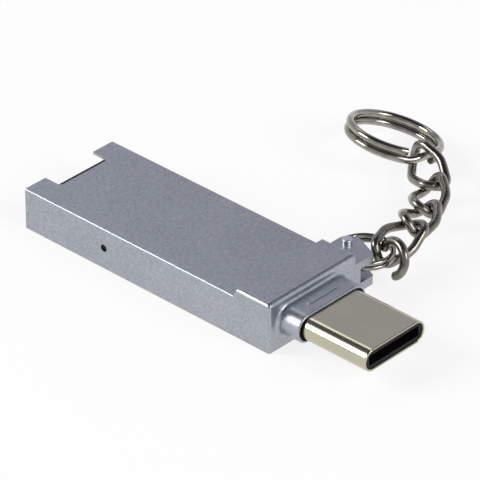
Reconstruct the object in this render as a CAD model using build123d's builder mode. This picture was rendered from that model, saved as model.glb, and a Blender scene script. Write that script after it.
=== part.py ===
"""Pocket memory card reader with a plug at each end and a short key chain.

Lengths are in millimetres and angles in degrees.  The origin is the centre of the
housing's underside, +X runs to the oval plug, +Y to the chain's side and +Z is up.
"""
from math import cos, radians, sin
import os

from build123d import *

os.makedirs("parts", exist_ok=True)

# Housing: a flat metal tube that is itself the wide plug, with a raised solid shoulder.
housing_length = 31.7
plug_width = 12.0
plug_height = 4.5
wall = 0.3
shoulder_height = 5.4
shoulder_length = 4.1
ramp_run = 0.45
long_edge_round = 0.18
end_edge_round = 0.45
upright_round = 0.3
mouth_x = -housing_length / 2
end_x = housing_length / 2
shoulder_x = end_x - shoulder_length

# Mouth of the wide plug: a notch in the top wall lets a fingertip reach the memory card.
notch_width = 6.5
notch_depth = 2.05
notch_round = 0.4

# Staking hole through each side of the tube, dished by the punch that made it.
mark_setback = 10.35
mark_height = 2.25
mark_radius = 1.0
mark_depth = 0.15
mark_hole_radius = 0.38
mark_x = mouth_x + mark_setback

# Narrow plug: a drawn metal shell with a plastic core and two rows of contacts.
shell_width = 8.25
shell_height = 2.4
shell_wall = 0.22
shell_reach = 7.7
shell_lip_round = 0.1
core_recess = 0.15
core_side = 0.505
mouth_slot_width = shell_width - 2 * (shell_wall + core_side)
mouth_slot_height = 1.1
mouth_slot_depth = 5.6
mouth_slot_round = 0.22
contact_count = 12
contact_pitch = 0.5
contact_width = 0.26
contact_thickness = 0.12
contact_length = 3.6
contact_setback = 1.6
latch_length = 2.4
latch_width = 0.3
latch_height = 0.6

# Boss on the end face: an oval sleeve around the narrow plug, with a collar between them.
boss_length = 2.6
boss_side_wall = 0.225
boss_top_wall = 0.22
boss_root_round = 0.35
boss_lip_round = 0.15
boss_bar_length = 3.9
boss_bar_width = 0.45
boss_bar_rise = 0.1
boss_bar_round = 0.15
boss_y = -0.35
boss_z = 2.95
collar_side = 0.3
collar_top = 0.08
collar_recess = 0.25
boss_hole_width = shell_width + 2 * collar_side
boss_hole_height = shell_height + 2 * collar_top
boss_width = boss_hole_width + 2 * boss_side_wall
boss_height = boss_hole_height + 2 * boss_top_wall
shell_tip_x = end_x + boss_length + shell_reach

# Inside of the tube, from the mouth to the shoulder, and the pocket in the shoulder.
tube_corner_round = 0.1
pocket_side = 0.325
pocket_below = 0.87
pocket_above = 0.67
pocket_end_wall = 0.95
carrier_length = 1.9
tube_end_x = shoulder_x - ramp_run
shell_start_x = tube_end_x + carrier_length
pocket_end_x = end_x - pocket_end_wall
pocket_width = boss_hole_width + 2 * pocket_side
pocket_floor = boss_z - boss_hole_height / 2 - pocket_below
pocket_roof = boss_z + boss_hole_height / 2 + pocket_above

# Contact board across the tube, which splits the mouth into a plug half and a card half.
board_front_setback = 0.14
board_bottom = 2.25
board_thickness = 0.95
board_edge_cut = 0.15
board_top = board_bottom + board_thickness
board_front_x = mouth_x + board_front_setback
pad_width = 1.0
pad_thickness = 0.12
pad_round = 0.2
outer_pad_length = 7.4
inner_pad_length = 6.4
outer_pad_y = 3.5
inner_pad_y = 1.0
outer_pad_setback = 1.2
inner_pad_setback = 2.2

# Card stop, card springs and the small parts on the board behind them.
card_depth = 14.6
card_stop_length = 2.2
card_stop_cut = 0.4
card_spring_count = 8
card_spring_pitch = 1.1
card_spring_width = 0.5
card_spring_length = 2.8
card_spring_thickness = 0.12
card_spring_rise = 0.45
card_stop_x = mouth_x + card_depth
chip_length = 5.0
chip_width = 5.0
chip_thickness = 0.85
chip_edge_cut = 0.12
chip_gap = 0.75
chip_x = card_stop_x + card_stop_length + chip_gap + chip_length / 2
small_part_gap = 0.6
crystal_length = 3.0
crystal_width = 1.2
crystal_thickness = 0.7
crystal_round = 0.36
crystal_y = -chip_width / 2 - small_part_gap - crystal_width / 2
capacitor_count = 3
capacitor_length = 0.6
capacitor_width = 1.0
capacitor_thickness = 0.5
capacitor_pitch = 1.6
capacitor_y = chip_width / 2 + small_part_gap + capacitor_width / 2

# Wire sizes of the chain.  The two split rings have two turns laid on one another.
small_ring_wire = 0.48
small_ring_radius = 2.75
key_ring_wire = 0.8
key_ring_radius = 4.6
small_ring_turn_gap = 0.02
key_ring_turn_gap = 0.04
small_ring_opening = 24
key_ring_opening = 20
open_link_wire = 0.9
open_link_radius = 1.65
open_link_start = -88
open_link_sweep = 238
open_link_end_round = 0.08

# Lug on the far side of the shoulder: two ears with a riveted pin, and a slot for the small ring.
lug_length = 4.25
lug_reach = 3.45
lug_bottom = 1.0
lug_top = 4.3
lug_slot_bottom = 1.93
lug_slot_top = 3.51
lug_rear_round = 1.25
lug_cut_length = 2.7
lug_cut_depth = 1.1
lug_tip_round = 0.8
lug_corner_round = 0.35
pin_setback = 3.1
pin_out = 2.05
pin_radius = 0.5
pin_head_rise = 0.5
pin_head_round = 0.14
ring_play = 0.12
ring_heading = 71.5
ring_dip = -1.55
ring_roll = 2.95
slot_play = 0.35
lug_rear_x = end_x - lug_length
pin_x = end_x - pin_setback
pin_y = plug_width / 2 + pin_out
ring_reach = small_ring_radius - small_ring_wire / 2 - pin_radius - ring_play
ring_x = pin_x + ring_reach * cos(radians(ring_heading))
ring_y = pin_y + ring_reach * sin(radians(ring_heading))
ring_z = (lug_slot_bottom + lug_slot_top) / 2
lug_slot_y = ring_y - small_ring_radius - small_ring_wire / 2 - slot_play

# One twisted curb link: its ends stand crosswise, turned opposite ways.
link_wire = 0.9
link_half_length = 2.95
link_waist = 1.72
link_end_half_width = 1.32
link_twist = 48
link_end_bend = 1.08
link_side_bend = 3.0


def hang(along, across, up, heading, dip, roll):
    """Plane of a chain piece, placed from the lug's pin and the table in link half lengths.

    It is rolled about its own X, tipped nose down by dip and turned to its heading.
    """
    spot = (pin_x + along * link_half_length, pin_y + across * link_half_length, up * link_half_length)
    return Plane(Location(spot, (roll, dip, heading), Extrinsic.XYZ))


# Where each piece of the chain lies, as in the picture.
small_ring_place = Plane(
    Location((ring_x, ring_y, ring_z), (ring_roll, ring_dip, ring_heading - 180), Extrinsic.XYZ)
)
open_link_place = hang(1.0919, 1.0010, 0.8814, -4.5, -25.6, 72.1)
link_places = [
    hang(0.6078, 1.7953, 0.9953, 89.2, -8.3, 22.2),
    hang(0.1600, 3.3197, 0.9546, 115.1, 11.5, 4.6),
    hang(-0.6451, 4.7481, 0.7634, 123.5, 2.7, -11.8),
    hang(-1.7658, 5.8763, 0.8390, 151.4, -6.5, -31.8),
]
key_ring_place = hang(-3.7949, 6.5966, 0.8861, -14.7, -0.3, -19.5)


# Housing
with BuildPart() as housing:
    with BuildSketch(Plane.XZ):
        with BuildLine():
            Polyline(
                (mouth_x, 0),
                (end_x, 0),
                (end_x, shoulder_height),
                (shoulder_x, shoulder_height),
                (shoulder_x - ramp_run, plug_height),
                (mouth_x, plug_height),
                close=True,
            )
        make_face()
    extrude(amount=plug_width / 2, both=True)
    end_uprights = housing.edges().filter_by(Axis.Z).group_by(Axis.X)[-1]
    fillet(end_uprights, upright_round)
    end_top = housing.edges().filter_by(Axis.Y).group_by(Axis.Z)[-1].sort_by(Axis.X)[-1]
    fillet(end_top, end_edge_round)
    long_edges = housing.edges().filter_by(Axis.X)
    fillet(long_edges, long_edge_round)

    # Lug block, its slot for the small ring and the hole for its pin.
    lug_root_y = plug_width / 2 - wall
    lug_tip_y = plug_width / 2 + lug_reach
    with BuildSketch(Plane.XY.offset(lug_bottom)):
        with BuildLine():
            FilletPolyline(
                (lug_rear_x, lug_root_y),
                (lug_rear_x, lug_tip_y),
                (end_x - lug_cut_length, lug_tip_y),
                (end_x, lug_tip_y - lug_cut_depth),
                (end_x, lug_root_y),
                radius=[0, lug_rear_round, lug_tip_round, lug_corner_round, 0],
                close=True,
            )
        make_face()
    extrude(amount=lug_top - lug_bottom)
    with BuildSketch(Plane.XY.offset(lug_slot_bottom)):
        with Locations((end_x - lug_length / 2, (lug_slot_y + lug_tip_y) / 2)):
            Rectangle(lug_length, lug_tip_y - lug_slot_y)
    extrude(amount=lug_slot_top - lug_slot_bottom, mode=Mode.SUBTRACT)
    with BuildSketch(Plane.XY.offset(lug_bottom)):
        with Locations((pin_x, pin_y)):
            Circle(pin_radius)
    extrude(amount=lug_top - lug_bottom, mode=Mode.SUBTRACT)

    # Boss with its rounded root and lip, and a low bar on its top.
    end_face = Plane(origin=(end_x, boss_y, boss_z), x_dir=(0, 1, 0), z_dir=(1, 0, 0))
    with BuildSketch(end_face):
        SlotOverall(boss_width, boss_height)
    extrude(amount=boss_length)
    root = housing.edges().filter_by(GeomType.CIRCLE).filter_by_position(Axis.X, end_x, end_x)
    root = root.filter_by(lambda edge: abs(edge.radius - boss_height / 2) < 0.01)
    fillet(root, boss_root_round)
    fillet(housing.faces().sort_by(Axis.X)[-1].edges(), boss_lip_round)
    with BuildSketch(Plane.XY.offset(boss_z + boss_height / 2)):
        with Locations((end_x + boss_length / 2, boss_y)):
            RectangleRounded(boss_bar_width, boss_bar_length, boss_bar_round)
    extrude(amount=boss_bar_rise)

    # Tube, pocket in the shoulder and the oval hole through the boss.
    with BuildSketch(Plane(origin=(mouth_x, 0, 0), x_dir=(0, 1, 0), z_dir=(1, 0, 0))):
        with Locations((0, plug_height / 2)):
            RectangleRounded(plug_width - 2 * wall, plug_height - 2 * wall, tube_corner_round)
    extrude(amount=tube_end_x - mouth_x, mode=Mode.SUBTRACT)
    with BuildSketch(Plane(origin=(tube_end_x, boss_y, 0), x_dir=(0, 1, 0), z_dir=(1, 0, 0))):
        with Locations((0, (pocket_floor + pocket_roof) / 2)):
            Rectangle(pocket_width, pocket_roof - pocket_floor)
    extrude(amount=pocket_end_x - tube_end_x, mode=Mode.SUBTRACT)
    with BuildSketch(end_face):
        SlotOverall(boss_hole_width, boss_hole_height)
    extrude(amount=boss_length, mode=Mode.SUBTRACT)
    with BuildSketch(end_face):
        SlotOverall(boss_hole_width, boss_hole_height)
    extrude(amount=pocket_end_x - end_x, mode=Mode.SUBTRACT)

    # Notch in the top wall at the mouth.
    with BuildSketch(Plane.XY.offset(plug_height - wall)):
        with Locations((mouth_x, 0)):
            RectangleRounded(2 * notch_depth, notch_width, notch_round)
    extrude(amount=wall, mode=Mode.SUBTRACT)

    # Staking holes, one on each side, each with its dish.
    mark_ball = (mark_radius**2 + mark_depth**2) / (2 * mark_depth)
    mark_y = plug_width / 2 - mark_depth + mark_ball
    with Locations((mark_x, -mark_y, mark_height), (mark_x, mark_y, mark_height)):
        Sphere(mark_ball, mode=Mode.SUBTRACT)
    hole_y = (plug_width - wall) / 2
    with Locations((mark_x, -hole_y, mark_height), (mark_x, hole_y, mark_height)):
        Cylinder(mark_hole_radius, wall, rotation=(90, 0, 0), mode=Mode.SUBTRACT)
housing.part.label = "housing"
export_step(housing.part, "parts/housing.step")

# Rivet pin in the lug, headed over on the upper ear
with BuildPart() as lug_pin:
    with BuildSketch(Plane.XY.offset(lug_bottom)):
        with Locations((pin_x, pin_y)):
            Circle(pin_radius)
    extrude(amount=lug_top + pin_head_rise - lug_bottom)
    fillet(lug_pin.edges().group_by(Axis.Z)[-1], pin_head_round)
lug_pin.part.label = "lug_pin"
export_step(lug_pin.part, "parts/lug_pin.step")

# Contact board
board_length = tube_end_x - board_front_x
with BuildPart() as contact_board:
    with BuildSketch(Plane.XY.offset(board_bottom)):
        with Locations((board_front_x + board_length / 2, 0)):
            Rectangle(board_length, plug_width - 2 * wall)
    extrude(amount=board_thickness)
    chamfer(contact_board.edges().filter_by(Axis.Y).group_by(Axis.X)[0], board_edge_cut)
contact_board.part.label = "contact_board"
export_step(contact_board.part, "parts/contact_board.step")

# Four pads under the board, the outer pair reaching nearer to the mouth
with BuildPart() as usb_a_pads:
    with BuildSketch(Plane.XY.offset(board_bottom - pad_thickness)):
        outer_x = mouth_x + outer_pad_setback + outer_pad_length / 2
        with Locations((outer_x, outer_pad_y), (outer_x, -outer_pad_y)):
            RectangleRounded(outer_pad_length, pad_width, pad_round)
        inner_x = mouth_x + inner_pad_setback + inner_pad_length / 2
        with Locations((inner_x, inner_pad_y), (inner_x, -inner_pad_y)):
            RectangleRounded(inner_pad_length, pad_width, pad_round)
    extrude(amount=pad_thickness)
usb_a_pads.part.label = "usb_a_pads"
export_step(usb_a_pads.part, "parts/usb_a_pads.step")

# Stop at the end of the card's slot
with BuildPart() as card_stop:
    with BuildSketch(Plane.XY.offset(board_top)):
        with Locations((card_stop_x + card_stop_length / 2, 0)):
            Rectangle(card_stop_length, plug_width - 2 * wall)
    extrude(amount=plug_height - wall - board_top)
    chamfer(card_stop.edges().filter_by(Axis.Z).group_by(Axis.X)[0], card_stop_cut)
card_stop.part.label = "card_stop"
export_step(card_stop.part, "parts/card_stop.step")

# Springs that press on the card's contacts, in one row in front of the stop
with BuildPart() as card_springs:
    spring_tip_x = card_stop_x - card_spring_length
    spring_bend_x = card_stop_x - card_spring_length * 0.4
    spring_peak_x = spring_tip_x + card_spring_length * 0.15
    spring_tip_top = board_top + card_spring_rise * 0.6
    with BuildSketch(Plane.XZ):
        with BuildLine():
            Polyline(
                (card_stop_x, board_top),
                (card_stop_x, board_top + card_spring_thickness),
                (spring_bend_x, board_top + card_spring_thickness),
                (spring_peak_x, board_top + card_spring_rise),
                (spring_tip_x, spring_tip_top),
                (spring_tip_x, spring_tip_top - card_spring_thickness),
                (spring_peak_x, board_top + card_spring_rise - card_spring_thickness),
                (spring_bend_x, board_top),
                close=True,
            )
        make_face()
    extrude(amount=card_spring_width / 2, both=True)
    spring = card_springs.part
with BuildPart() as card_spring_row:
    with GridLocations(0, card_spring_pitch, 1, card_spring_count):
        add(spring)
card_spring_row.part.label = "card_springs"
export_step(card_spring_row.part, "parts/card_springs.step")

# Controller chip on the board
with BuildPart() as controller_chip:
    with BuildSketch(Plane.XY.offset(board_top)):
        with Locations((chip_x, 0)):
            Rectangle(chip_length, chip_width)
    extrude(amount=chip_thickness)
    chamfer(controller_chip.faces().sort_by(Axis.Z)[-1].edges(), chip_edge_cut)
controller_chip.part.label = "controller_chip"
export_step(controller_chip.part, "parts/controller_chip.step")

# Crystal in its metal can
with BuildPart() as crystal:
    with BuildSketch(Plane.XY.offset(board_top)):
        with Locations((chip_x, crystal_y)):
            RectangleRounded(crystal_length, crystal_width, crystal_round)
    extrude(amount=crystal_thickness)
crystal.part.label = "crystal"
export_step(crystal.part, "parts/crystal.step")

# Row of capacitors
with BuildPart() as capacitors:
    with BuildSketch(Plane.XY.offset(board_top)):
        with Locations((chip_x, capacitor_y)):
            with GridLocations(capacitor_pitch, 0, capacitor_count, 1):
                Rectangle(capacitor_length, capacitor_width)
    extrude(amount=capacitor_thickness)
capacitors.part.label = "capacitors"
export_step(capacitors.part, "parts/capacitors.step")

# Carrier block that joins the board to the narrow plug
with BuildPart() as plug_carrier:
    with BuildSketch(Plane(origin=(tube_end_x, boss_y, 0), x_dir=(0, 1, 0), z_dir=(1, 0, 0))):
        with Locations((0, (pocket_floor + pocket_roof) / 2)):
            Rectangle(pocket_width, pocket_roof - pocket_floor)
    extrude(amount=shell_start_x - tube_end_x)
plug_carrier.part.label = "plug_carrier"
export_step(plug_carrier.part, "parts/plug_carrier.step")

# Collar: a flange in the pocket and a sleeve that fills the boss around the shell
plug_plane = Plane(origin=(shell_start_x, boss_y, boss_z), x_dir=(0, 1, 0), z_dir=(1, 0, 0))
with BuildPart() as plug_collar:
    with BuildSketch(plug_plane):
        with Locations((0, (pocket_floor + pocket_roof) / 2 - boss_z)):
            Rectangle(pocket_width, pocket_roof - pocket_floor)
    extrude(amount=pocket_end_x - shell_start_x)
    with BuildSketch(plug_plane):
        SlotOverall(boss_hole_width, boss_hole_height)
    extrude(amount=end_x + boss_length - collar_recess - shell_start_x)
    with BuildSketch(plug_plane):
        SlotOverall(shell_width, shell_height)
    extrude(amount=end_x + boss_length - shell_start_x, mode=Mode.SUBTRACT)
plug_collar.part.label = "plug_collar"
export_step(plug_collar.part, "parts/plug_collar.step")

# Drawn shell of the narrow plug
with BuildPart() as usb_c_shell:
    with BuildSketch(plug_plane):
        SlotOverall(shell_width, shell_height)
        SlotOverall(shell_width - 2 * shell_wall, shell_height - 2 * shell_wall, mode=Mode.SUBTRACT)
    extrude(amount=shell_tip_x - shell_start_x)
    fillet(usb_c_shell.faces().sort_by(Axis.X)[-1].edges(), shell_lip_round)
usb_c_shell.part.label = "usb_c_shell"
export_step(usb_c_shell.part, "parts/usb_c_shell.step")

# Plastic core with the slot that takes the socket's tongue
slot_plane = Plane(origin=(shell_tip_x - core_recess, boss_y, boss_z), x_dir=(0, 1, 0), z_dir=(-1, 0, 0))
with BuildPart() as usb_c_core:
    with BuildSketch(plug_plane):
        SlotOverall(shell_width - 2 * shell_wall, shell_height - 2 * shell_wall)
    extrude(amount=shell_tip_x - core_recess - shell_start_x)
    with BuildSketch(slot_plane):
        RectangleRounded(mouth_slot_width, mouth_slot_height, mouth_slot_round)
    extrude(amount=mouth_slot_depth, mode=Mode.SUBTRACT)
usb_c_core.part.label = "usb_c_core"
export_step(usb_c_core.part, "parts/usb_c_core.step")

# Upper and lower rows of contacts on the walls of that slot
contact_x = shell_tip_x - core_recess - contact_setback - contact_length / 2
contact_lift = mouth_slot_height / 2 - contact_thickness / 2
with BuildPart() as usb_c_pins_upper:
    with Locations((contact_x, boss_y, boss_z + contact_lift)):
        with GridLocations(0, contact_pitch, 1, contact_count):
            Box(contact_length, contact_width, contact_thickness)
usb_c_pins_upper.part.label = "usb_c_pins_upper"
export_step(usb_c_pins_upper.part, "parts/usb_c_pins_upper.step")

with BuildPart() as usb_c_pins_lower:
    with Locations((contact_x, boss_y, boss_z - contact_lift)):
        with GridLocations(0, contact_pitch, 1, contact_count):
            Box(contact_length, contact_width, contact_thickness)
usb_c_pins_lower.part.label = "usb_c_pins_lower"
export_step(usb_c_pins_lower.part, "parts/usb_c_pins_lower.step")

# Side latches that hold the plug in its socket
latch_y = mouth_slot_width / 2 - latch_width / 2
with BuildPart() as usb_c_latches:
    with Locations((contact_x, boss_y - latch_y, boss_z), (contact_x, boss_y + latch_y, boss_z)):
        Box(latch_length, latch_width, latch_height)
usb_c_latches.part.label = "usb_c_latches"
export_step(usb_c_latches.part, "parts/usb_c_latches.step")


def split_ring(place, wire, radius, turn_gap, opening):
    """Two turns of wire: a low turn, a crossing on the +X side and a high turn."""
    half_step = (wire + turn_gap) / 2
    with BuildPart() as ring:
        with BuildLine(place) as path:
            low = CenterArc((0, 0, -half_step), radius, opening, 360 - 2 * opening)
            high = CenterArc((0, 0, half_step), radius, opening, 360 - 2 * opening)
            middle = place.from_local_coords((radius, 0, 0))
            Spline(low @ 1, middle, high @ 0, tangents=(low % 1, high % 0))
        with BuildSketch(Plane(origin=low @ 0, z_dir=low % 0)):
            Circle(wire / 2)
        sweep(path=path.wires()[0])
    return ring.part


def curb_link(place):
    """Twisted oval link, swept as a far half and a near half that meet at the waist."""
    across = link_end_half_width * cos(radians(link_twist))
    height = link_end_half_width * sin(radians(link_twist))
    left = (0, link_waist, 0)
    right = (0, -link_waist, 0)
    far_left = (link_half_length, across, -height)
    far_right = (link_half_length, -across, height)
    near_right = (-link_half_length, -across, -height)
    near_left = (-link_half_length, across, height)
    bends = [link_end_bend, link_end_bend, link_side_bend, link_end_bend, link_end_bend, link_side_bend]
    with BuildPart() as link:
        with BuildLine(place) as path:
            FilletPolyline(
                far_left, far_right, right, near_right, near_left, left, radius=bends, close=True
            )
        for edge in path.edges():
            with BuildSketch(Plane(origin=edge @ 0, z_dir=edge % 0)):
                Circle(link_wire / 2)
            sweep(path=edge)
    return link.part


# Small split ring on the lug's pin
small_ring = split_ring(
    small_ring_place, small_ring_wire, small_ring_radius, small_ring_turn_gap, small_ring_opening
)
small_ring.label = "small_ring"
export_step(small_ring, "parts/small_ring.step")

# Open link, a hook bent from the same wire as the chain, with a cut end
with BuildPart() as open_link:
    with BuildLine(open_link_place) as open_path:
        hook = CenterArc((0, 0), open_link_radius, open_link_start, open_link_sweep)
    with BuildSketch(Plane(origin=hook @ 0, z_dir=hook % 0)):
        Circle(open_link_wire / 2)
    sweep(path=open_path.wires()[0])
    cut_ends = open_link.edges().filter_by(GeomType.CIRCLE)
    cut_ends = cut_ends.filter_by(lambda edge: edge.radius < open_link_wire)
    fillet(cut_ends, open_link_end_round)
open_link.part.label = "open_link"
export_step(open_link.part, "parts/open_link.step")

# Curb links, in order from the open link to the key ring
for number, place in enumerate(link_places, start=1):
    chain_link = curb_link(place)
    chain_link.label = f"chain_link_{number}"
    export_step(chain_link, f"parts/chain_link_{number}.step")

# Key ring, the large split ring at the chain's end
key_ring = split_ring(
    key_ring_place, key_ring_wire, key_ring_radius, key_ring_turn_gap, key_ring_opening
)
key_ring.label = "key_ring"
export_step(key_ring, "parts/key_ring.step")
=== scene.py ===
"""Looks of a pocket memory card reader with a plug at each end and a short key chain.

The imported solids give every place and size, in metres, with +X to the oval plug,
+Y to the chain's side and +Z up from the housing's underside.
"""

import bmesh
import bpy
import numpy as np
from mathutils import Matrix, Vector


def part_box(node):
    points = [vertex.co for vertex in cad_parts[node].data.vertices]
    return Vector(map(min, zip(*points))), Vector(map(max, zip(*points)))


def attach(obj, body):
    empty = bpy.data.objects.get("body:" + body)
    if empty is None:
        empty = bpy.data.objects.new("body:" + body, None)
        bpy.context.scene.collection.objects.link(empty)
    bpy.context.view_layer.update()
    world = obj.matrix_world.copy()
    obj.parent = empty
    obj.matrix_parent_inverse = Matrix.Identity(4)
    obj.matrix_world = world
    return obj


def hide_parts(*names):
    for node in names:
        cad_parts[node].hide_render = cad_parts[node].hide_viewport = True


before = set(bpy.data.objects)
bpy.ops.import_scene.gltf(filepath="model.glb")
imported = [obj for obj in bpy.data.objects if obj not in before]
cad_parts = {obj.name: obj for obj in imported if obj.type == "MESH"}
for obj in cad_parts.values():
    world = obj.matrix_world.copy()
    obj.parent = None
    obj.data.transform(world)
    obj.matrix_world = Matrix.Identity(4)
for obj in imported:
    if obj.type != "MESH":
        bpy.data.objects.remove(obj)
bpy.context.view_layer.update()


# HOUSING
# One zinc casting: the flat tube of the wide plug, a raised shoulder, a boss and a lug.
# It is blasted with fine grit and plated in a bluish satin silver.
def linear(code):
    """Linear RGBA of an sRGB hex code: the standard curve, a line near black and a power above it."""
    srgb = np.array([int(code[i:i + 2], 16) for i in (1, 3, 5)]) / 255
    light = np.where(srgb <= 0.04045, srgb / 12.92, ((srgb + 0.055) / 1.055) ** 2.4)
    return (*light.tolist(), 1.0)


def node(tree, kind, inputs=None, **settings):
    """Add one shader node, set its properties, and fill its sockets with values or links."""
    made = tree.nodes.new(kind)
    for key, value in settings.items():
        setattr(made, key, value)
    for socket, value in (inputs or {}).items():
        if isinstance(value, bpy.types.NodeSocket):
            tree.links.new(value, made.inputs[socket])
        else:
            made.inputs[socket].default_value = value
    return made


def begin(name):
    """Start a material with one Principled shader, and give the places of its pattern."""
    made = bpy.data.materials.new(name)
    made.use_nodes = True
    tree = made.node_tree
    tree.nodes.clear()
    shader = node(tree, "ShaderNodeBsdfPrincipled")
    node(tree, "ShaderNodeOutputMaterial", {"Surface": shader.outputs["BSDF"]})
    places = node(tree, "ShaderNodeTexCoord").outputs["Object"]
    return made, tree, shader, places


def dress(names, material):
    """Give CAD nodes one material."""
    for name in names:
        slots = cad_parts[name].data.materials
        slots.clear()
        slots.append(material)


# Satin plating over blasted zinc: an even grey metal with a soft, slightly sandy sheen.
# The grit is under 0.1 mm; it is drawn at 0.22 mm so that it shows.
satin_plating, tree, shader, places = begin("satin_plated_zinc")
grit_width, drift_width, drift_share = 0.00022, 0.006, 0.2
grit = node(tree, "ShaderNodeTexNoise",
            {"Vector": places, "Scale": 1 / grit_width, "Detail": 2.0, "Roughness": 0.7})
drift = node(tree, "ShaderNodeTexNoise", {"Vector": places, "Scale": 1 / drift_width, "Detail": 2.0})
tone = node(tree, "ShaderNodeMath", operation="MULTIPLY_ADD",
            inputs={0: drift.outputs["Fac"], 1: drift_share, 2: grit.outputs["Fac"]})
tone = node(tree, "ShaderNodeMapRange", {"Value": tone.outputs[0], "From Min": 0.3, "From Max": 0.9})
plating = node(tree, "ShaderNodeValToRGB", {"Fac": tone.outputs["Result"]})
plating.color_ramp.elements[0].color = linear("#8e9299")
plating.color_ramp.elements[1].color = linear("#bcc0c5")
sheen = node(tree, "ShaderNodeMapRange", {"Value": tone.outputs["Result"], "To Min": 0.32, "To Max": 0.42})
relief = node(tree, "ShaderNodeBump", {"Height": grit.outputs["Fac"], "Strength": 0.3, "Distance": 0.00003})
tree.links.new(plating.outputs["Color"], shader.inputs["Base Color"])
tree.links.new(sheen.outputs["Result"], shader.inputs["Roughness"])
tree.links.new(relief.outputs["Normal"], shader.inputs["Normal"])
shader.inputs["Metallic"].default_value = 1.0
dress(["housing"], satin_plating)


# LUG PIN
# A short steel pin, pressed through both ears of the lug and headed over on top.
# Its head is rubbed bright.

# Headed steel: a pale mirror with rubbed patches that are a little duller.
pin_steel, tree, shader, places = begin("headed_steel_pin")
rub_width = 0.0004
rub = node(tree, "ShaderNodeTexNoise", {"Vector": places, "Scale": 1 / rub_width, "Detail": 4.0})
polish = node(tree, "ShaderNodeMapRange", {"Value": rub.outputs["Fac"], "To Min": 0.1, "To Max": 0.3})
tree.links.new(polish.outputs["Result"], shader.inputs["Roughness"])
shader.inputs["Base Color"].default_value = linear("#cfd0d4")
shader.inputs["Metallic"].default_value = 1.0
dress(["lug_pin"], pin_steel)


# CONTACT BOARD AND CARD SLOT
# A black glass-fibre board splits the mouth; gilded pads are under it and gilded springs on it.
# A moulded stop ends the card's slot, and the chip with its small parts sits behind.

# Lacquered glass fibre: near black, with a dim gloss that follows the cloth.
# Its threads are about 0.5 mm apart: a wave takes a third of its 1.6 mm unit.
board_lacquer, tree, shader, places = begin("black_lacquered_board")
weave_unit = 0.0016
weave = node(tree, "ShaderNodeTexWave", {"Vector": places, "Scale": 1 / weave_unit, "Distortion": 0.6})
gloss = node(tree, "ShaderNodeMapRange", {"Value": weave.outputs["Fac"], "To Min": 0.38, "To Max": 0.5})
tree.links.new(gloss.outputs["Result"], shader.inputs["Roughness"])
shader.inputs["Base Color"].default_value = linear("#0b0b0d")
shader.inputs["Specular IOR Level"].default_value = 0.2
dress(["contact_board"], board_lacquer)

# Gilded bronze: a bright yellow metal, wiped duller where a card or socket rubs it.
gilding, tree, shader, places = begin("gilded_contact_spring")
wipe_width = 0.0005
wipe = node(tree, "ShaderNodeTexNoise", {"Vector": places, "Scale": 1 / wipe_width, "Detail": 3.0})
wiped = node(tree, "ShaderNodeMapRange", {"Value": wipe.outputs["Fac"], "To Min": 0.18, "To Max": 0.34})
tree.links.new(wiped.outputs["Result"], shader.inputs["Roughness"])
shader.inputs["Base Color"].default_value = linear("#e0bd6a")
shader.inputs["Metallic"].default_value = 1.0
dress(["usb_a_pads", "card_springs", "usb_c_pins_upper", "usb_c_pins_lower"], gilding)

# Nylon from a sparked mould: near black, dull, with a fine pebbled skin.
black_moulding, tree, shader, places = begin("black_moulded_nylon")
spark_width = 0.0003
spark = node(tree, "ShaderNodeTexNoise", {"Vector": places, "Scale": 1 / spark_width, "Detail": 3.0})
matte = node(tree, "ShaderNodeMapRange", {"Value": spark.outputs["Fac"], "To Min": 0.42, "To Max": 0.6})
skin = node(tree, "ShaderNodeBump", {"Height": spark.outputs["Fac"], "Strength": 0.15, "Distance": 0.00002})
tree.links.new(matte.outputs["Result"], shader.inputs["Roughness"])
tree.links.new(skin.outputs["Normal"], shader.inputs["Normal"])
shader.inputs["Base Color"].default_value = linear("#08080a")
shader.inputs["Specular IOR Level"].default_value = 0.25
dress(["card_stop", "plug_carrier", "plug_collar", "usb_c_core"], black_moulding)

# Filled epoxy, pressed round the chip: a dark, dry grey with a sandy dullness.
chip_resin, tree, shader, places = begin("black_chip_resin")
filler_width = 0.0002
filler = node(tree, "ShaderNodeTexNoise", {"Vector": places, "Scale": 1 / filler_width, "Detail": 2.0})
dull = node(tree, "ShaderNodeMapRange", {"Value": filler.outputs["Fac"], "To Min": 0.55, "To Max": 0.75})
tree.links.new(dull.outputs["Result"], shader.inputs["Roughness"])
shader.inputs["Base Color"].default_value = linear("#1d1d1f")
dress(["controller_chip"], chip_resin)

# Fired ceramic: matt tan with faint specks.
capacitor_clay, tree, shader, places = begin("tan_fired_ceramic")
speck_width = 0.00025
speck = node(tree, "ShaderNodeTexNoise", {"Vector": places, "Scale": 1 / speck_width, "Detail": 2.0})
clay = node(tree, "ShaderNodeValToRGB", {"Fac": speck.outputs["Fac"]})
clay.color_ramp.elements[0].color = linear("#a58459")
clay.color_ramp.elements[1].color = linear("#bd9c70")
tree.links.new(clay.outputs["Color"], shader.inputs["Base Color"])
shader.inputs["Roughness"].default_value = 0.6
dress(["capacitors"], capacitor_clay)

# Drawn sheet steel: a plain grey metal with a soft, uneven shine.
can_steel, tree, shader, places = begin("drawn_steel_can")
draw_width = 0.0004
draw = node(tree, "ShaderNodeTexNoise", {"Vector": places, "Scale": 1 / draw_width, "Detail": 3.0})
drawn = node(tree, "ShaderNodeMapRange", {"Value": draw.outputs["Fac"], "To Min": 0.25, "To Max": 0.38})
tree.links.new(drawn.outputs["Result"], shader.inputs["Roughness"])
shader.inputs["Base Color"].default_value = linear("#b9b9b8")
shader.inputs["Metallic"].default_value = 1.0
dress(["crystal", "usb_c_latches"], can_steel)


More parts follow.
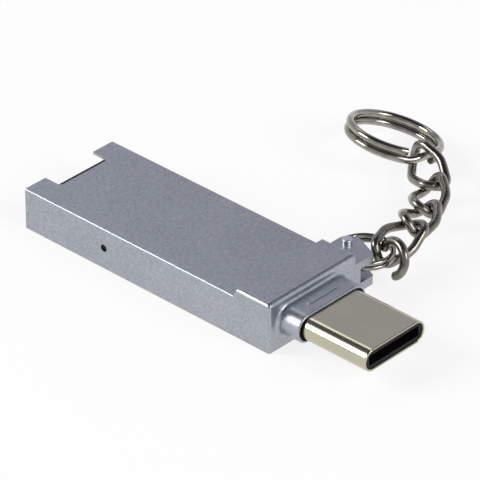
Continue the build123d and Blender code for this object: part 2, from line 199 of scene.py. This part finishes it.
# OVAL PLUG SHELL
# A seamless steel shell, drawn to an oval, nickel plated, with a rolled lip at its mouth.
# It is pressed through the black collar in the boss.
def grid_faces(rows, columns, close_rows, close_columns):
    """Four-sided faces between neighbours of a grid, wrapped round where a side is closed.

    Each face goes up a row before it goes along it, which turns its front away from the inside.
    """
    row = np.arange(rows if close_rows else rows - 1)[:, None]
    column = np.arange(columns if close_columns else columns - 1)[None, :]
    after_row, after_column = (row + 1) % rows, (column + 1) % columns
    corners = (row * columns + column, after_row * columns + column,
               after_row * columns + after_column, row * columns + after_column)
    return np.stack(np.broadcast_arrays(*corners), -1).reshape(-1, 4)


def skin_piece(name, points, close_rows, close_columns, material):
    """Mesh object from a grid of points in millimetres, smooth shaded, with its place in its mesh.

    Points that fall together, as in the middle of a cut end, are welded into one.
    """
    weld_distance = 1e-7
    mesh = bpy.data.meshes.new(name)
    faces = grid_faces(points.shape[0], points.shape[1], close_rows, close_columns)
    mesh.from_pydata((points.reshape(-1, 3) / 1000).tolist(), [], faces.tolist())
    welded = bmesh.new()
    welded.from_mesh(mesh)
    bmesh.ops.remove_doubles(welded, verts=welded.verts, dist=weld_distance)
    welded.to_mesh(mesh)
    welded.free()
    mesh.polygons.foreach_set("use_smooth", np.ones(len(mesh.polygons), dtype=bool))
    mesh.materials.append(material)
    piece = bpy.data.objects.new(name, mesh)
    bpy.context.scene.collection.objects.link(piece)
    return piece


# Nickel over drawn steel: a warm grey metal, brighter along the bends, with faint lengthwise lines.
# The drawing lines are under 0.05 mm wide; they are drawn at 0.12 mm so that they show.
plug_nickel, tree, shader, places = begin("nickel_plated_drawn_steel")
line_width, line_stretch, cloud_width = 0.00012, 25, 0.003
lengthwise = node(tree, "ShaderNodeMapping", {"Vector": places, "Scale": (1 / line_stretch, 1.0, 1.0)})
lines = node(tree, "ShaderNodeTexNoise",
             {"Vector": lengthwise.outputs[0], "Scale": 1 / line_width, "Detail": 2.0})
cloud = node(tree, "ShaderNodeTexNoise", {"Vector": places, "Scale": 1 / cloud_width, "Detail": 3.0})
warm = node(tree, "ShaderNodeValToRGB", {"Fac": cloud.outputs["Fac"]})
warm.color_ramp.elements[0].color = linear("#b7b49f")
warm.color_ramp.elements[1].color = linear("#c1bda8")
glide = node(tree, "ShaderNodeMapRange", {"Value": lines.outputs["Fac"], "To Min": 0.14, "To Max": 0.22})
tree.links.new(warm.outputs["Color"], shader.inputs["Base Color"])
tree.links.new(glide.outputs["Result"], shader.inputs["Roughness"])
shader.inputs["Metallic"].default_value = 1.0

shell_width, shell_height, shell_wall, lip_round = 8.25, 2.4, 0.22, 0.1
# Extra rows and columns this far from each bend keep the flats flat under smooth shading.
hold, bend_steps = 0.04, 33
(shell_start, _, _), (shell_tip, _, _) = (np.array(corner) * 1000 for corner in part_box("usb_c_shell"))
shell_centre = np.array(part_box("usb_c_shell")).mean(0)[1:] * 1000
bend = np.radians(np.linspace(0, 90, 7))
outer_lip = np.stack([shell_tip - lip_round + lip_round * np.sin(bend),
                      lip_round - lip_round * np.cos(bend)], 1)
inner_lip = np.stack([outer_lip[::-1, 0], shell_wall - outer_lip[::-1, 1]], 1)
straight_run = np.array([shell_start, shell_start + hold, shell_tip - lip_round - hold])
outside = np.stack([straight_run, np.zeros(3)], 1)
inside = np.stack([straight_run[::-1], np.full(3, shell_wall)], 1)
profile = np.vstack([outside, outer_lip, inner_lip, inside])
half_turn = np.hstack([-90, np.linspace(-90, 90, bend_steps), 90])
around = np.radians(np.hstack([half_turn, half_turn + 180]))
half_straight = (shell_width - shell_height) / 2 - np.hstack([hold, np.zeros(bend_steps), hold])
straight = np.hstack([half_straight, -half_straight])
# Oval wall: half circles at both ends of two straights, shrunk by the profile's depth into the wall.
radius = shell_height / 2 - profile[:, 1:2]
shell_points = np.stack([
    np.broadcast_to(profile[:, :1], (len(profile), len(around))),
    shell_centre[0] + straight + radius * np.cos(around),
    shell_centre[1] + radius * np.sin(around)], -1)
plug_shell = skin_piece("oval_plug_shell", shell_points[::-1], True, True, plug_nickel)
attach(plug_shell, "reader")
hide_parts("usb_c_shell")


# CHAIN
# Nickel plated steel wire: a thin double ring on the lug's pin, an open hook with a cut end,
# four twisted links and a double key ring.  Each is bent from round wire and hung in the next.
def plated_wire(name, dark, light, least_rough, most_rough, dent):
    """Plated wire: blotches between two colours, and scuffs that vary its shine and dent it."""
    blotch_width, scuff_width = 0.0012, 0.0003
    material, tree, shader, places = begin(name)
    tarnish = node(tree, "ShaderNodeTexNoise",
                   {"Vector": places, "Scale": 1 / blotch_width, "Detail": 4.0})
    scuffs = node(tree, "ShaderNodeTexNoise", {"Vector": places, "Scale": 1 / scuff_width, "Detail": 3.0})
    plate = node(tree, "ShaderNodeValToRGB", {"Fac": tarnish.outputs["Fac"]})
    plate.color_ramp.elements[0].position = 0.3
    plate.color_ramp.elements[0].color = linear(dark)
    plate.color_ramp.elements[1].position = 0.7
    plate.color_ramp.elements[1].color = linear(light)
    shine = node(tree, "ShaderNodeMapRange",
                 {"Value": scuffs.outputs["Fac"], "To Min": least_rough, "To Max": most_rough})
    dents = node(tree, "ShaderNodeBump",
                 {"Height": scuffs.outputs["Fac"], "Strength": 0.5, "Distance": dent})
    tree.links.new(plate.outputs["Color"], shader.inputs["Base Color"])
    tree.links.new(shine.outputs["Result"], shader.inputs["Roughness"])
    tree.links.new(dents.outputs["Normal"], shader.inputs["Normal"])
    shader.inputs["Metallic"].default_value = 1.0
    return material


# Barrel plated rings: a mirror-like warm grey with sharp highlights.
ring_nickel = plated_wire("barrel_plated_spring_wire", "#85837a", "#aeaba1", 0.08, 0.16, 0.000006)
# Links and hook: the same plating, duller, with small dents that break the highlights; their darker colours
# are painted shade.
darkened_link_nickel = plated_wire("dull_plated_wire_with_painted_shade", "#6c6a62", "#969389", 0.14, 0.32, 0.00003)


def lay(x, y, z, heading, dip=0, roll=0):
    """Place of a piece: its centre, and axes turned by roll about X, dip about Y, then heading about Z."""
    roll, dip, heading = np.radians([roll, dip, heading])
    about_x = np.array([[1, 0, 0], [0, np.cos(roll), -np.sin(roll)], [0, np.sin(roll), np.cos(roll)]])
    about_y = np.array([[np.cos(dip), 0, np.sin(dip)], [0, 1, 0], [-np.sin(dip), 0, np.cos(dip)]])
    about_z = np.array([[np.cos(heading), -np.sin(heading), 0],
                        [np.sin(heading), np.cos(heading), 0],
                        [0, 0, 1]])
    return np.array([x, y, z]), about_z @ about_y @ about_x


def round_wire(name, path, ahead, wire, place, closed, material):
    """Round wire along a path: each point carries a circle square to the path's direction.

    The circle's axes are the direction crossed with the piece's own Z, and that crossed with
    the direction again.  An open wire's last circles shrink to a point in one plane, which
    makes a flat cut end with its burr taken off.
    """
    ahead = ahead / np.linalg.norm(ahead, axis=1, keepdims=True)
    swell = np.ones(len(path))
    if not closed:
        step = np.array([0.0, 0.0, 0.0, 0.02, 0.06, 0.09])[:, None] * wire
        dressed = np.array([0.0, 0.82, 0.88, 0.97, 1.0, 1.0])
        rows = len(dressed)
        path = np.vstack([path[0] + step * ahead[0], path[1:-1], path[-1] - step[::-1] * ahead[-1]])
        ahead = np.vstack([np.repeat(ahead[:1], rows, 0), ahead[1:-1], np.repeat(ahead[-1:], rows, 0)])
        swell = np.hstack([dressed, np.ones(len(path) - 2 * rows), dressed[::-1]])
    side = np.cross(ahead, [0.0, 0.0, 1.0])
    side /= np.linalg.norm(side, axis=1, keepdims=True)
    rise = np.cross(side, ahead)
    turn = np.linspace(0, 2 * np.pi, 32, endpoint=False)[None, :, None]
    ring = np.cos(turn) * side[:, None] + np.sin(turn) * rise[:, None]
    points = path[:, None] + wire / 2 * swell[:, None, None] * ring
    centre, axes = place
    piece = skin_piece(name, centre + points @ axes.T, closed, True, material)
    return piece


def split_ring_path(radius, wire, turn_gap, opening):
    """Two flat turns: the angle runs twice round, and the height eases from the low to the high one."""
    turn_steps, crossing_steps = 120, 24
    angle = np.radians(np.hstack([
        np.linspace(opening, 360 - opening, turn_steps, endpoint=False),
        np.linspace(360 - opening, 360 + opening, crossing_steps, endpoint=False),
        np.linspace(360 + opening, 720 - opening, turn_steps + 1)]))
    share = np.clip((np.degrees(angle) - 360 + opening) / (2 * opening), 0, 1)
    height = (wire + turn_gap) * (share * share * (3 - 2 * share) - 0.5)
    path = np.stack([radius * np.cos(angle), radius * np.sin(angle), height], 1)
    return path, np.gradient(path, axis=0)


small_radius, small_wire, small_gap, small_opening = 2.75, 0.48, 0.02, 24
path, ahead = split_ring_path(small_radius, small_wire, small_gap, small_opening)
ring_place = lay(13.3497, 9.8423, 2.72, -108.5, -1.55, 2.95)
small_ring = round_wire("small_double_ring", path, ahead, small_wire, ring_place, False, ring_nickel)
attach(small_ring, "small_ring")
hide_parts("small_ring")

# The hook is one circular arc, open by about a third of a turn.
link_wire = 0.9
hook_radius, hook_start, hook_end, hook_steps = 1.65, -88, 150, 90
angle = np.radians(np.linspace(hook_start, hook_end, hook_steps))
path = hook_radius * np.stack([np.cos(angle), np.sin(angle), 0 * angle], 1)
ahead = np.stack([-np.sin(angle), np.cos(angle), 0 * angle], 1)
hook_place = lay(15.9711, 11.003, 2.6001, -4.5, -25.6, 72.1)
open_hook = round_wire("open_hook_link", path, ahead, link_wire, hook_place, False, darkened_link_nickel)
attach(open_hook, "open_link")
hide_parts("open_link")


def twisted_link_path(half_length, waist, end_half_width, twist, end_bend, side_bend):
    """Twisted oval: six corners, each rounded by an arc that starts and ends where its straights touch it.

    An arc runs from the first straight's direction through the turn between the two straights.
    """
    across, lift = end_half_width * np.cos(np.radians(twist)), end_half_width * np.sin(np.radians(twist))
    corners = np.array([[half_length, across, -lift], [half_length, -across, lift], [0, -waist, 0],
                        [-half_length, -across, -lift], [-half_length, across, lift], [0, waist, 0]])
    bend = np.array([end_bend, end_bend, side_bend, end_bend, end_bend, side_bend])[:, None]
    came = corners - np.roll(corners, 1, 0)
    came /= np.linalg.norm(came, axis=1, keepdims=True)
    goes = np.roll(came, -1, 0)
    turn = np.arccos((came * goes).sum(1))[:, None]
    inward = (goes - came) / np.linalg.norm(goes - came, axis=1, keepdims=True)
    middle = corners + inward * bend / np.cos(turn / 2)
    out = (corners - came * bend * np.tan(turn / 2) - middle) / bend
    arc_steps = 22
    swing = (turn * np.linspace(0, 1, arc_steps))[:, :, None]
    path = middle[:, None] + bend[:, None] * (np.cos(swing) * out[:, None] + np.sin(swing) * came[:, None])
    ahead = np.cos(swing) * came[:, None] - np.sin(swing) * out[:, None]
    return path.reshape(-1, 3), ahead.reshape(-1, 3)


link_places = [
    lay(14.543, 13.3461, 2.9361, 89.2, -8.3, 22.2),
    lay(13.222, 17.8431, 2.8161, 115.1, 11.5, 4.6),
    lay(10.847, 22.0569, 2.252, 123.5, 2.7, -11.8),
    lay(7.5409, 25.3851, 2.4751, 151.4, -6.5, -31.8)]
half_length, waist, end_half_width, twist, end_bend, side_bend = 2.95, 1.72, 1.32, 48, 1.08, 3.0
path, ahead = twisted_link_path(half_length, waist, end_half_width, twist, end_bend, side_bend)
for number, place in enumerate(link_places, start=1):
    link = round_wire(f"twisted_link_{number}", path, ahead, link_wire, place, True, darkened_link_nickel)
    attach(link, f"chain_link_{number}")
    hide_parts(f"chain_link_{number}")

key_radius, key_wire, key_gap, key_opening = 4.6, 0.8, 0.04, 20
path, ahead = split_ring_path(key_radius, key_wire, key_gap, key_opening)
key_place = lay(1.5551, 27.51, 2.614, -14.7, -0.3, -19.5)
key_ring = round_wire("double_key_ring", path, ahead, key_wire, key_place, False, ring_nickel)
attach(key_ring, "key_ring")
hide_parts("key_ring")


# STUDIO
# A wide white table under a pale tent that is brightest near the horizon, with a soft lamp on
# each side and a small one beyond.  The table looks white in the picture and keeps a faint shadow.
table_paint, tree, shader, places = begin("white_table")
shader.inputs["Base Color"].default_value = linear("#f6f6f6")
shader.inputs["Roughness"].default_value = 0.9
ray = node(tree, "ShaderNodeLightPath")
mirrored = node(tree, "ShaderNodeMath", operation="MAXIMUM",
                inputs={0: ray.outputs["Is Glossy Ray"], 1: ray.outputs["Is Transmission Ray"]})
seen = node(tree, "ShaderNodeMath", operation="MAXIMUM",
            inputs={0: ray.outputs["Is Camera Ray"], 1: mirrored.outputs[0]})
white_share, white_strength = 0.75, 1.07
share = node(tree, "ShaderNodeMath", {0: seen.outputs[0], 1: white_share}, operation="MULTIPLY")
glow = node(tree, "ShaderNodeEmission", {"Color": (1, 1, 1, 1), "Strength": white_strength})
table_mix = node(tree, "ShaderNodeMixShader",
                 {"Fac": share.outputs[0], 1: shader.outputs[0], 2: glow.outputs[0]})
tree.links.new(table_mix.outputs[0], tree.nodes["Material Output"].inputs["Surface"])
table_reach, table_drop = 3000, 0.01
corners = np.array([[-1, -1], [-1, 1], [1, -1], [1, 1]], dtype=float).reshape(2, 2, 2)
table_points = np.concatenate([corners * table_reach, np.full((2, 2, 1), -table_drop)], -1)
table = skin_piece("white_table", table_points, False, False, table_paint)

tent = bpy.data.worlds.new("pale_tent")
bpy.context.scene.world = tent
tent.use_nodes = True
tree = tent.node_tree
tree.nodes.clear()
direction = node(tree, "ShaderNodeSeparateXYZ", {0: node(tree, "ShaderNodeTexCoord").outputs["Generated"]})
cloth = node(tree, "ShaderNodeValToRGB", {"Fac": direction.outputs["Z"]})
cloth.color_ramp.elements[0].color = (1.0, 1.0, 1.0, 1.0)
cloth.color_ramp.elements[0].position = 0.05
cloth.color_ramp.elements[1].color = (0.06, 0.06, 0.065, 1.0)
cloth.color_ramp.elements[1].position = 0.95
# The cloth is an even, slightly blue grey half way up, and falls to dark overhead.
cloth_blue = 1.16
for height, shade in ((0.4, 0.54), (0.62, 0.54), (0.76, 0.12)):
    cloth.color_ramp.elements.new(height).color = (shade, shade, shade * cloth_blue, 1.0)
sky = node(tree, "ShaderNodeBackground", {"Color": cloth.outputs["Color"], "Strength": 1.0})
node(tree, "ShaderNodeOutputWorld", {"Surface": sky.outputs[0]})


def soft_lamp(name, place, size, power):
    """Square lamp that faces the middle of the object."""
    lamp = bpy.data.lights.new(name, "AREA")
    lamp.size = size
    lamp.energy = power
    held = bpy.data.objects.new(name, lamp)
    held.location = place
    middle = Vector((0.004, 0.006, 0.003))
    held.rotation_euler = (middle - held.location).to_track_quat("-Z", "Y").to_euler()
    bpy.context.scene.collection.objects.link(held)


soft_lamp("left_soft_lamp", (-0.31, -0.33, 0.28), size=0.24, power=1.5)
soft_lamp("right_soft_lamp", (0.45, 0.06, 0.3), size=0.24, power=1.0)
soft_lamp("far_soft_lamp", (-0.33, 0.2, 0.42), size=0.16, power=0.14)

# The camera stands where the picture was taken from, with a long lens.
camera = bpy.data.objects.new("camera", bpy.data.cameras.new("camera"))
camera.data.sensor_width = 36.0
camera.data.lens = 325.6
camera.data.clip_end = 10.0
camera.location = (0.2385, -0.2485, 0.2235)
aim = Vector((0.00354, 0.00325, 0.00285))
camera.rotation_euler = (aim - camera.location).to_track_quat("-Z", "Y").to_euler()
bpy.context.scene.collection.objects.link(camera)
bpy.context.scene.camera = camera
bpy.context.scene.view_settings.view_transform = "Standard"
